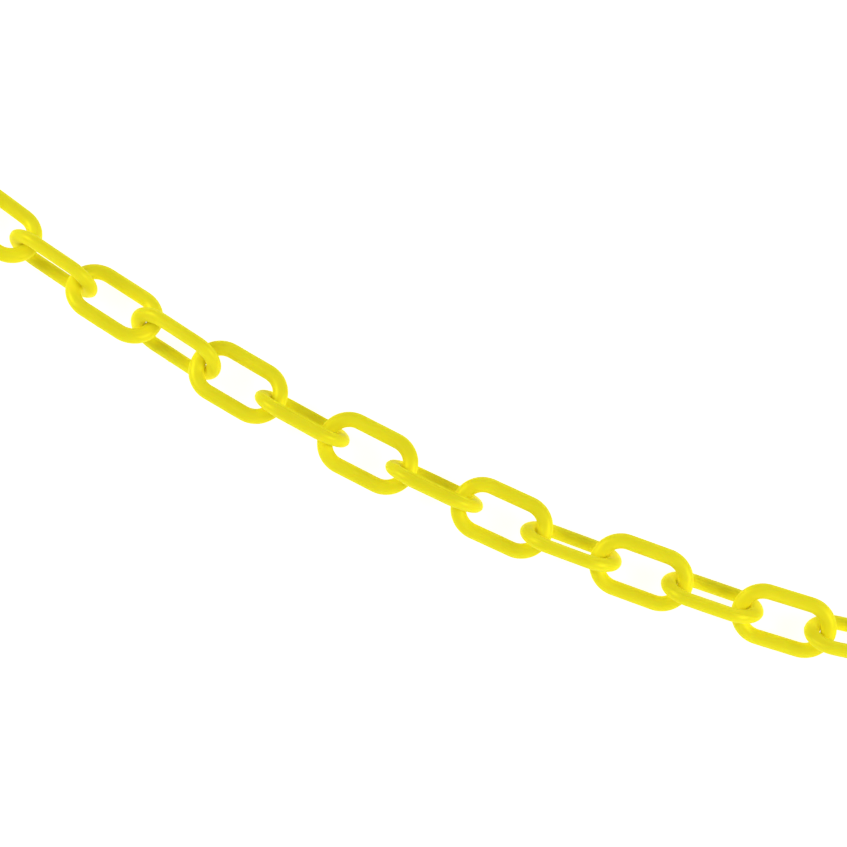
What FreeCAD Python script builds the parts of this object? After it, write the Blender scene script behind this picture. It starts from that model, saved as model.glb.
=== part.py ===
"""Plastic barrier chain: closed moulded links, each threaded through the next.

The chain lies on a floor at z = 0, spread out in the curve that it hangs in. Odd links stand on edge
and even links lie flat between them. +X runs from link_01 to link_21, and +Z is up.
Lengths are millimetres and angles are degrees.
"""
import FreeCAD, Part
import math
import os

# One link: an oval wire closed into a loop, with two straight sides and two half-round ends.
# The wire is wider in the link's own plane than it is thick through that plane.
LINK_LENGTH = 51.0
LINK_WIDTH = 30.8
WIRE_WIDTH = 7.5
WIRE_THICKNESS = 6.5

# The chain. The gap is the clearance where the wire of one link crosses the wire of the next.
LINK_COUNT = 21
CONTACT_GAP = 0.35

# The curve is a catenary: a link's slope is its distance along the chain from the lowest point,
# divided by the curve's size, which is the end pull divided by the weight of a unit length.
CURVE_SIZE = 940.0
LOWEST_POINT_FROM_MIDDLE = 450.0

# How far each link is turned about the chain's own line, from standing on edge or lying flat.
# A positive turn raises the +Y side. Neighbours differ by 21 degrees at most, within the eyes' play.
LINK_TURNS = [0, -8, -6, -20, -12.5, -26, -25, -4.5, 16, 5, 15, 11, 25, 17, 29.5, 24, 37, 28, 22, 12, 0]

# How far each link points to the left of the smooth curve.
LINK_SWINGS = [0, 0, 0, 0, 1, 1, -1, 0, 0, 0, 0, -1, 1.5, 0, -1, -1, 1.5, 0, 0, 0, 0]

# A link swings this far each way about the end wire of the link before it, counting outward from the
# middle link. The sense changes after every two links, so that a chain folded all one way makes a
# stair and doesn't meet itself.
SWING_LIMIT = 90.0
LEFT_SENSES = [-1, 1, 1, -1]
RIGHT_SENSES = [1, 1, -1, -1]

MIDDLE_LINK = (LINK_COUNT + 1) // 2
BEND_RADIUS = (LINK_WIDTH - WIRE_WIDTH) / 2
STRAIGHT_LENGTH = LINK_LENGTH - LINK_WIDTH
END_WIRE_OFFSET = (LINK_LENGTH - WIRE_WIDTH) / 2
CONTACT_SPACING = WIRE_WIDTH + CONTACT_GAP
LINK_PITCH = 2 * END_WIRE_OFFSET - CONTACT_SPACING

LENGTH_AXIS = FreeCAD.Vector(1, 0, 0)
WIDTH_AXIS = FreeCAD.Vector(0, 1, 0)
THICKNESS_AXIS = FreeCAD.Vector(0, 0, 1)


def node_name(number):
    return f"link_{number:02d}"


def stands_on_edge(number):
    return number % 2 == 1


def wire_section(side):
    """The wire's oval section where it crosses the middle of the link, on +Y or -Y."""
    centre = WIDTH_AXIS * side * BEND_RADIUS
    widest = centre + WIDTH_AXIS * WIRE_WIDTH / 2
    thickest = centre + THICKNESS_AXIS * WIRE_THICKNESS / 2
    oval = Part.Ellipse(widest, thickest, centre)
    return Part.Face(Part.Wire(oval.toShape()))


def make_side(side):
    """One straight side of a link, on +Y or -Y."""
    section = wire_section(side)
    section.translate(LENGTH_AXIS * -STRAIGHT_LENGTH / 2)
    return section.extrude(LENGTH_AXIS * STRAIGHT_LENGTH)


def make_bend(end):
    """The half-round end of a link, on +X or -X."""
    bend = wire_section(-end).revolve(FreeCAD.Vector(), THICKNESS_AXIS, 180)
    bend.translate(LENGTH_AXIS * end * STRAIGHT_LENGTH / 2)
    return bend


def make_link():
    """A closed link about its own centre: its length along X and its width along Y."""
    loop = make_bend(1).fuse([make_side(1), make_bend(-1), make_side(-1)])
    return loop.removeSplitter().Solids[0]


def resting_height(number):
    """How high the centre of an on-edge link lies when its lower side touches the floor."""
    lean = math.radians(LINK_TURNS[number - 1])
    half_wire = math.hypot(WIRE_WIDTH / 2 * math.cos(lean), WIRE_THICKNESS / 2 * math.sin(lean))
    return BEND_RADIUS * math.cos(lean) + half_wire


def curve_heading(number):
    """The way a link points along the hanging curve, where the horizontal is zero."""
    along = (number - MIDDLE_LINK) * LINK_PITCH
    slope = (along - LOWEST_POINT_FROM_MIDDLE) / CURVE_SIZE
    return math.degrees(math.atan(slope)) + LINK_SWINGS[number - 1]


def climb(number):
    """How steeply a link rises from the floor: a flat link joins the two on-edge links beside it."""
    if stands_on_edge(number):
        return 0.0
    rise = resting_height(number + 1) - resting_height(number - 1)
    return math.degrees(math.asin(rise / LINK_PITCH))


def link_rotation(number):
    roll = LINK_TURNS[number - 1]
    if stands_on_edge(number):
        roll += 90
    heading = FreeCAD.Rotation(THICKNESS_AXIS, curve_heading(number))
    rising = FreeCAD.Rotation(WIDTH_AXIS, -climb(number))
    about_line = FreeCAD.Rotation(LENGTH_AXIS, roll)
    return heading.multiply(rising).multiply(about_line)


def link_placements():
    """Each link's placement, with the chain's two end links in line along X."""
    numbers = range(1, LINK_COUNT + 1)
    rotations = [link_rotation(number) for number in numbers]
    centres = [FreeCAD.Vector(0, 0, resting_height(1))]
    for before, after in zip(rotations, rotations[1:]):
        both_ways = before.multVec(LENGTH_AXIS) + after.multVec(LENGTH_AXIS)
        overlap = FreeCAD.Vector(both_ways).normalize() * CONTACT_SPACING
        centres.append(centres[-1] + both_ways * END_WIRE_OFFSET - overlap)
    chord = centres[-1] - centres[0]
    chord_heading = math.degrees(math.atan2(chord.y, chord.x))
    into_line = FreeCAD.Placement(FreeCAD.Vector(), FreeCAD.Rotation(THICKNESS_AXIS, -chord_heading))
    placements = {}
    for number, centre, rotation in zip(numbers, centres, rotations):
        placements[node_name(number)] = into_line.multiply(FreeCAD.Placement(centre, rotation))
    return placements


def make_chain():
    """The links by name, centred over the origin."""
    template = make_link()
    links = {}
    for name, placement in link_placements().items():
        links[name] = template.copy()
        links[name].Placement = placement
    middle = Part.Compound(list(links.values())).optimalBoundingBox().Center
    to_origin = FreeCAD.Placement(FreeCAD.Vector(-middle.x, -middle.y, 0), FreeCAD.Rotation())
    for link in links.values():
        link.Placement = to_origin.multiply(link.Placement)
    return links


def swing_joints(links):
    """Each joint's parent, child, pivot and axis: the axis runs along the parent's end wire."""
    joints = {}
    for side, end, senses in (("left", -1, LEFT_SENSES), ("right", 1, RIGHT_SENSES)):
        for step in range(1, MIDDLE_LINK):
            parent = node_name(MIDDLE_LINK + end * (step - 1))
            child = node_name(MIDDLE_LINK + end * step)
            placement = links[parent].Placement
            pivot = placement.multVec(LENGTH_AXIS * end * END_WIRE_OFFSET)
            axis = placement.Rotation.multVec(WIDTH_AXIS) * senses[step % len(senses)]
            joints[f"{side}_{step:02d}_swing"] = (parent, child, pivot, axis)
    return joints


def main():
    os.makedirs("parts", exist_ok=True)
    links = make_chain()
    for name, link in links.items():
        link.exportStep(f"parts/{name}.step")
    box = Part.Compound(list(links.values())).optimalBoundingBox()
    print(f"{len(links)} links in a box {box.XLength:.1f} x {box.YLength:.1f} x {box.ZLength:.1f}")
    for name, (parent, child, pivot, axis) in swing_joints(links).items():
        print(f"{name}: {parent} -> {child}, pivot {tuple(pivot)}, axis {tuple(axis)}, +/-{SWING_LIMIT:.0f}")


if __name__ == "__main__":
    main()
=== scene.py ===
"""Looks of the plastic barrier chain: moulded links on a pale floor. Lengths are in metres."""

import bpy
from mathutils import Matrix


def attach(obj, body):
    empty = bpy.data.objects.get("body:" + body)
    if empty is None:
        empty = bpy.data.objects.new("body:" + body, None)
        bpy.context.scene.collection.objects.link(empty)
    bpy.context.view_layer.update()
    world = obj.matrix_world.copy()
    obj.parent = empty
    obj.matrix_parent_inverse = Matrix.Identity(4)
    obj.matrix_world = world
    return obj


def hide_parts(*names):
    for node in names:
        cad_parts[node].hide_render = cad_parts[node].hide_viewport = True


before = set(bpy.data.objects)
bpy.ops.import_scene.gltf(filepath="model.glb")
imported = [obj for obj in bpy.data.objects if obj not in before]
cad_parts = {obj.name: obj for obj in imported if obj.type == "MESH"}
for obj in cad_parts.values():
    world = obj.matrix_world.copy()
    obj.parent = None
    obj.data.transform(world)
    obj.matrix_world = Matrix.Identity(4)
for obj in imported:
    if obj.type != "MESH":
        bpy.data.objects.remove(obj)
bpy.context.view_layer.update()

import math

import bpy
import numpy as np
from mathutils import Matrix, Vector, noise

MM = 0.001

# The mould's marks on a link. Its two halves open at an angle to the link's width, and leave a fine
# ridge and a slight step where they part. In some cavities they open more nearly along the width and
# close less well, and leave a thick ridge along the straight sides. The next link wears a ridge away
# where it rubs.
MOULD_ANGLE = math.radians(45)
RIDGE_HEIGHT = 0.11 * MM
RIDGE_WIDTH = math.radians(3.4)
THICK_RIDGE_LINKS = (9, 11)
THICK_RIDGE_MOULD_ANGLE = math.radians(17)
THICK_RIDGE_HEIGHT = 0.75 * MM
THICK_RIDGE_WIDTH = math.radians(5)
RIDGE_WEAR = 1.5
HALF_STEP = 0.035 * MM
GATE_HEIGHT = 0.25 * MM
GATE_LENGTH = 1.4 * MM
GATE_WIDTH = math.radians(10)
WAVINESS = 0.035 * MM
WAVE_LENGTH = 7 * MM

# Mesh density: rings along each half-round end and each straight side of a link, and the points
# round its wire, as angles in degrees from the parting line. They are close together beside the line.
BEND_RINGS = 40
SIDE_RINGS = 16
NEAR_LINE = [1.6, 3.2, 5.5, 8.5]
AWAY_FROM_LINE = [13, 22, 33, 45, 57, 68, 79, 90]

# The plastic's colours: the two that its body varies between, a paler one at the parting line that is
# partly a painted highlight, and a darker one where it is worn that is partly painted shade.
DEEP_YELLOW = (0.89, 0.81, 0.021, 1)
BRIGHT_YELLOW = (0.93, 0.845, 0.024, 1)
SEAM_AND_HIGHLIGHT_YELLOW = (0.97, 0.9, 0.03, 1)
WORN_AND_SHADED_YELLOW = (0.85, 0.76, 0.018, 1)

FLOOR_SIZE = 60.0
BACKDROP_RADIUS = 27.0
BACKDROP_HEIGHT = 2.5
BACKDROP_PANELS = 96
LIGHT_DISTANCE = 1.8

# The camera looks down on the floor. Its lean is off the vertical, along X and along Y, and its spin
# turns the picture so that the chain runs down to the right.
CAMERA_DISTANCE = 2.0
CAMERA_LENS = 177.7
CAMERA_SENSOR = 36.0
CAMERA_TARGET = Vector((-16.7, 0.85, 15.0)) * MM
CAMERA_LEAN = (math.radians(5.12), math.radians(-6.43))
CAMERA_SPIN = math.radians(24.9)


def link_axes(node):
    """A link's centre and axes, and its size: length, width, and its wire's width and thickness."""
    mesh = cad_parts[node].data
    mesh.calc_loop_triangles()
    points = np.array([vertex.co for vertex in mesh.vertices])
    corners = points[[list(face.vertices) for face in mesh.loop_triangles]]
    middles = corners.mean(axis=1)
    crossed = np.cross(corners[:, 1] - corners[:, 0], corners[:, 2] - corners[:, 0])
    areas = np.linalg.norm(crossed, axis=1)
    centre = np.average(middles, axis=0, weights=areas)
    offsets = middles - centre
    spread = np.linalg.eigh(offsets.T @ (offsets * areas[:, None]))[1]
    length_axis = Vector(spread[:, 2])
    width_axis = Vector(spread[:, 1])
    if length_axis.x < 0:
        length_axis.negate()
    if max(width_axis.y, width_axis.z, key=abs) < 0:
        width_axis.negate()
    thickness_axis = length_axis.cross(width_axis)
    axes = (length_axis, width_axis, thickness_axis)
    from_centre = (points - centre) @ np.array(axes).T
    length, width, wire_thickness = np.ptp(from_centre, axis=0)
    # The inner face of the straight sides gives the wire's width.
    in_sides = np.abs(from_centre[:, 0]) < (length - width) / 2 + 0.1 * MM
    wire_width = width / 2 - np.abs(from_centre[in_sides, 1]).min()
    size = (length, width, wire_width, wire_thickness)
    return Vector(centre), axes, [float(extent) for extent in size]


def outline_rings(length, width, wire_width):
    """Each ring's middle, its outward direction and its distance from the gate, round a link.

    The gate's mark is in the middle of one straight side. Other rings count as a link's length from it.
    """
    bend_radius = (width - wire_width) / 2
    half_side = (length - width) / 2
    rings = []
    for end in (1, -1):
        for step in range(BEND_RINGS):
            angle = math.pi * (step / BEND_RINGS - 0.5)
            outward = Vector((end * math.cos(angle), end * math.sin(angle), 0))
            rings.append((Vector((end * half_side, 0, 0)) + outward * bend_radius, outward, length))
        for step in range(SIDE_RINGS):
            # The rings crowd towards the middle of the side, where the gate's mark is.
            share = 2 * step / SIDE_RINGS - 1
            along = half_side * (0.25 * share + 0.75 * share ** 3)
            outward = Vector((0, end, 0))
            gate_distance = abs(along) if end < 0 else length
            rings.append((Vector((-end * along, end * bend_radius, 0)), outward, gate_distance))
    return rings


def section_angles():
    """Angles round the wire from the parting line, over the whole turn."""
    quarter = NEAR_LINE + AWAY_FROM_LINE
    half = [0] + quarter + [180 - angle for angle in reversed(quarter[:-1])]
    return [math.radians(angle) for angle in half + [180 + angle for angle in half]]


def falling(distance, reach):
    """One at no distance, falling smoothly to zero at the reach."""
    share = min(1.0, distance / reach)
    return (1 - share * share) ** 2


def from_line(angle):
    """How far an angle round the wire is from the nearer of the two parting lines."""
    turned = angle % math.pi
    return min(turned, math.pi - turned)


def mould_half(angle):
    """Which half of the mould made this side of the wire: 1 or -1, or 0 on the parting line."""
    height = math.sin(angle)
    return 0 if abs(height) < 1e-6 else math.copysign(1, height)


# The material also uses this mask to darken the plastic with painted shade, in the crevice where the
# next link sits.
def rubbed_and_shaded_by_neighbour(normal, outward):
    """One inside a link's end, where the next link bears, falling to zero well away from there."""
    inward = max(0.0, -normal.dot(outward))
    # It starts a little over half way to the tip.
    towards_tip = min(1.0, max(0.0, abs(outward.x) * 2.2 - 1.2))
    return inward * towards_tip


def oval_offset(around, across, through, half_width, half_thickness):
    """From the middle of an oval wire to where its surface faces an angle round it."""
    x = half_width ** 2 * math.cos(around)
    y = half_thickness ** 2 * math.sin(around)
    reach = math.hypot(half_width * math.cos(around), half_thickness * math.sin(around))
    return (across * x + through * y) / reach


def ring_faces(ring_count, point_count):
    """The faces between each ring of points and the next, with the last joined to the first."""
    faces = []
    for ring in range(ring_count):
        here = ring * point_count
        after = (ring + 1) % ring_count * point_count
        for point in range(point_count):
            beside = (point + 1) % point_count
            faces.append((here + point, after + point, after + beside, here + beside))
    return faces


def link_mesh(name, size, number):
    """A moulded link about its own centre, with its length along X and its width along Y."""
    length, width, wire_width, wire_thickness = size
    half_wire = (wire_width / 2, wire_thickness / 2)
    mould_side = 1 if number % 2 else -1
    thick = number in THICK_RIDGE_LINKS
    mould_angle = THICK_RIDGE_MOULD_ANGLE if thick else MOULD_ANGLE
    side_ridge_height = THICK_RIDGE_HEIGHT if thick else RIDGE_HEIGHT
    ridge_width = THICK_RIDGE_WIDTH if thick else RIDGE_WIDTH
    thickness_axis = Vector((0, 0, 1))
    width_axis = Vector((0, 1, 0))
    step_axis = width_axis * math.sin(mould_angle)
    step_axis -= thickness_axis * math.cos(mould_angle) * mould_side
    angles = section_angles()
    # Each link has waves of its own.
    wander = Vector((3.7, 1.3, 2.1)) * number
    vertices = []
    seams_and_highlight = []
    rubs_and_shade = []
    rings = outline_rings(length, width, wire_width)
    for middle, outward, gate_distance in rings:
        line = math.atan(-outward.y / math.tan(mould_angle)) * mould_side
        # A thick ridge thins out round the ends.
        ridge_height = RIDGE_HEIGHT + (side_ridge_height - RIDGE_HEIGHT) * outward.y ** 4
        for angle in angles:
            around = line + angle
            normal = outward * math.cos(around) + thickness_axis * math.sin(around)
            # This mask wears the ridge down and roughens the surface. It also marks painted shade inside
            # the end.
            rub_and_shade = rubbed_and_shaded_by_neighbour(normal, outward)
            ridge = falling(from_line(angle), ridge_width) * max(0.0, 1 - RIDGE_WEAR * rub_and_shade)
            gate = falling(gate_distance, GATE_LENGTH)
            gate *= falling(min(angle, math.tau - angle), GATE_WIDTH)
            surface = middle + oval_offset(around, outward, thickness_axis, *half_wire)
            swell = WAVINESS * noise.noise(surface / WAVE_LENGTH + wander)
            raised = max(ridge * ridge_height, gate * GATE_HEIGHT) + swell
            vertices.append(surface + normal * raised + step_axis * (HALF_STEP * mould_half(angle)))
            # This mask makes the plastic paler along the parting line and the gate's mark. The paleness
            # is partly a painted highlight.
            seams_and_highlight.append(max(ridge, gate))
            rubs_and_shade.append(rub_and_shade)
    mesh = bpy.data.meshes.new(name)
    mesh.from_pydata(vertices, [], ring_faces(len(rings), len(angles)))
    for attribute, values in (("seam_and_highlight", seams_and_highlight), ("rub_and_shade", rubs_and_shade)):
        mesh.attributes.new(attribute, "FLOAT", "POINT").data.foreach_set("value", values)
    mesh.shade_smooth()
    mesh.validate()
    return mesh


def make_link(number, node, material):
    """The moulded link that stands for a CAD link, in its place and riding on its body."""
    centre, axes, size = link_axes(node)
    mesh = link_mesh(f"moulded_{node}", size, number)
    place = Matrix.Translation(centre) @ Matrix(axes).transposed().to_4x4()
    mesh.transform(place)
    mesh.materials.append(material)
    link = bpy.data.objects.new(mesh.name, mesh)
    bpy.context.scene.collection.objects.link(link)
    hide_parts(node)
    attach(link, node)


def new_material(name):
    """A new material: its nodes, its links, its shader and itself."""
    material = bpy.data.materials.new(name)
    material.use_nodes = True
    nodes = material.node_tree.nodes
    return nodes, material.node_tree.links, nodes["Principled BSDF"], material


def yellow_plastic():
    """Satin moulded polyethylene: slightly uneven colour and gloss, paler along the parting line, partly
    a painted highlight, and darker inside the ends, partly wear and partly painted shade.
    """
    nodes, links, shader, material = new_material("yellow_plastic")
    place = nodes.new("ShaderNodeTexCoord")

    def noise_node(scale, detail):
        texture = nodes.new("ShaderNodeTexNoise")
        texture.inputs["Scale"].default_value = scale
        texture.inputs["Detail"].default_value = detail
        links.new(place.outputs["Object"], texture.inputs["Vector"])
        return texture

    def attribute(name):
        node = nodes.new("ShaderNodeAttribute")
        node.attribute_name = name
        return node.outputs["Fac"]

    def mixed(factor, first, second):
        node = nodes.new("ShaderNodeMix")
        node.data_type = "RGBA"
        links.new(factor, node.inputs["Factor"])
        for socket, value in (("A", first), ("B", second)):
            target = [s for s in node.inputs if s.name == socket and s.type == "RGBA"][0]
            if isinstance(value, tuple):
                target.default_value = value
            else:
                links.new(value, target)
        return [s for s in node.outputs if s.type == "RGBA"][0]

    def ranged(value, low, high, start=0.0, end=1.0):
        node = nodes.new("ShaderNodeMapRange")
        node.inputs["From Min"].default_value = start
        node.inputs["From Max"].default_value = end
        node.inputs["To Min"].default_value = low
        node.inputs["To Max"].default_value = high
        links.new(value, node.inputs["Value"])
        return node.outputs["Result"]

    def sum_of(first, second):
        node = nodes.new("ShaderNodeMath")
        node.operation = "ADD"
        links.new(first, node.inputs[0])
        links.new(second, node.inputs[1])
        return node.outputs["Value"]

    # The scales are in noise cells for each metre.
    cloudy = noise_node(70, 2)
    fine = noise_node(900, 3)
    grain = noise_node(3500, 2)
    clouds = ranged(cloudy.outputs["Fac"], 0, 1, start=0.3, end=0.7)
    body = mixed(clouds, DEEP_YELLOW, BRIGHT_YELLOW)
    # Paler along the parting line and the gate's mark: partly the flash's own colour, partly a painted
    # highlight on the ridge.
    at_seam_and_highlight = mixed(ranged(attribute("seam_and_highlight"), 0, 0.35), body, SEAM_AND_HIGHLIGHT_YELLOW)
    # Darker inside a link's ends, where the next link bears: partly wear and partly painted shade in the
    # crevice.
    worn_and_shaded = mixed(ranged(attribute("rub_and_shade"), 0, 0.3), at_seam_and_highlight, WORN_AND_SHADED_YELLOW)
    links.new(worn_and_shaded, shader.inputs["Base Color"])
    satin = ranged(fine.outputs["Fac"], 0.36, 0.44, start=0.3, end=0.7)
    roughness = sum_of(satin, ranged(attribute("rub_and_shade"), 0, 0.12))
    links.new(roughness, shader.inputs["Roughness"])
    bump = nodes.new("ShaderNodeBump")
    bump.inputs["Strength"].default_value = 0.25
    bump.inputs["Distance"].default_value = 0.02 * MM
    links.new(sum_of(fine.outputs["Fac"], grain.outputs["Fac"]), bump.inputs["Height"])
    links.new(bump.outputs["Normal"], shader.inputs["Normal"])
    shader.inputs["IOR"].default_value = 1.5
    shader.inputs["Specular IOR Level"].default_value = 0.02
    shader.inputs["Metallic"].default_value = 0.11
    shader.inputs["Specular Tint"].default_value = (1.0, 0.93, 0.05, 1)
    shader.inputs["Subsurface Weight"].default_value = 0.6
    shader.inputs["Subsurface Radius"].default_value = (1.0, 0.8, 0.12)
    shader.inputs["Subsurface Scale"].default_value = 2 * MM
    return material


def pale_studio():
    """The plain, faintly glowing surface of the floor and the backdrop."""
    _, _, shader, material = new_material("pale_studio")
    shader.inputs["Base Color"].default_value = (0.4, 0.4, 0.4, 1)
    shader.inputs["Roughness"].default_value = 0.9
    shader.inputs["Specular IOR Level"].default_value = 0.1
    shader.inputs["Emission Color"].default_value = (1, 1, 1, 1)
    shader.inputs["Emission Strength"].default_value = 0.85
    return material


def make_stage(name, vertices, faces, material):
    """A part of the studio, which isn't part of the chain."""
    mesh = bpy.data.meshes.new(name)
    mesh.from_pydata(vertices, [], faces)
    mesh.materials.append(material)
    stage = bpy.data.objects.new(name, mesh)
    bpy.context.scene.collection.objects.link(stage)


def make_floor(material):
    """A plain pale floor at the height that the chain lies on."""
    half = FLOOR_SIZE / 2
    corners = [(-half, -half, 0), (half, -half, 0), (half, half, 0), (-half, half, 0)]
    make_stage("floor", corners, [(0, 1, 2, 3)], material)


def make_backdrop(material):
    """A low round wall, far off, that the floor runs up to where it is seen from low down."""
    vertices = []
    faces = []
    for panel in range(BACKDROP_PANELS):
        turn = math.tau * panel / BACKDROP_PANELS
        x = BACKDROP_RADIUS * math.cos(turn)
        y = BACKDROP_RADIUS * math.sin(turn)
        vertices += [(x, y, 0), (x, y, BACKDROP_HEIGHT)]
        here = 2 * panel
        after = 2 * ((panel + 1) % BACKDROP_PANELS)
        faces.append((after, here, here + 1, after + 1))
    make_stage("backdrop", vertices, faces, material)


def camera_axes():
    """The picture's right, its up and the way back to the camera."""
    back = Vector((math.tan(CAMERA_LEAN[0]), math.tan(CAMERA_LEAN[1]), 1)).normalized()
    up = Vector((-math.sin(CAMERA_SPIN), math.cos(CAMERA_SPIN), 0))
    right = up.cross(back).normalized()
    return right, back.cross(right), back


def make_camera():
    """The camera, looking down on the chain."""
    right, up, back = camera_axes()
    data = bpy.data.cameras.new("camera")
    data.lens = CAMERA_LENS
    data.sensor_width = CAMERA_SENSOR
    camera = bpy.data.objects.new("camera", data)
    turn = Matrix((right, up, back)).transposed().to_4x4()
    camera.matrix_world = Matrix.Translation(CAMERA_TARGET + back * CAMERA_DISTANCE) @ turn
    bpy.context.scene.collection.objects.link(camera)
    bpy.context.scene.camera = camera


def softbox(name, turn, lean, size, power):
    """A square light that faces the chain, placed by two angles in degrees.

    Its turn is anticlockwise from the picture's right, and its lean is off the line to the camera.
    """
    right, up, back = camera_axes()
    turn = math.radians(turn)
    lean = math.radians(lean)
    across = right * math.cos(turn) + up * math.sin(turn)
    way = back * math.cos(lean) + across * math.sin(lean)
    data = bpy.data.lights.new(name, "AREA")
    data.shape = "SQUARE"
    data.size = size
    data.energy = power
    light = bpy.data.objects.new(name, data)
    facing = way.to_track_quat("Z", "Y").to_matrix().to_4x4()
    light.matrix_world = Matrix.Translation(way * LIGHT_DISTANCE) @ facing
    bpy.context.scene.collection.objects.link(light)


def light_scene():
    """A dim white surround, a bright softbox at each side of the picture and a weak one below it."""
    world = bpy.data.worlds.new("surround")
    world.use_nodes = True
    background = world.node_tree.nodes["Background"]
    background.inputs["Color"].default_value = (1, 1, 1, 1)
    background.inputs["Strength"].default_value = 0.28
    bpy.context.scene.world = world
    softbox("left_softbox", turn=155, lean=57, size=0.85, power=14.4)
    softbox("right_softbox", turn=-12, lean=48, size=0.85, power=14.9)
    softbox("lower_softbox", turn=270, lean=60, size=1.5, power=5.1)
    bpy.context.scene.view_settings.view_transform = "Standard"


make_camera()
plastic = yellow_plastic()
for number, node in enumerate(sorted(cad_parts), start=1):
    make_link(number, node, plastic)
studio = pale_studio()
make_floor(studio)
make_backdrop(studio)
light_scene()
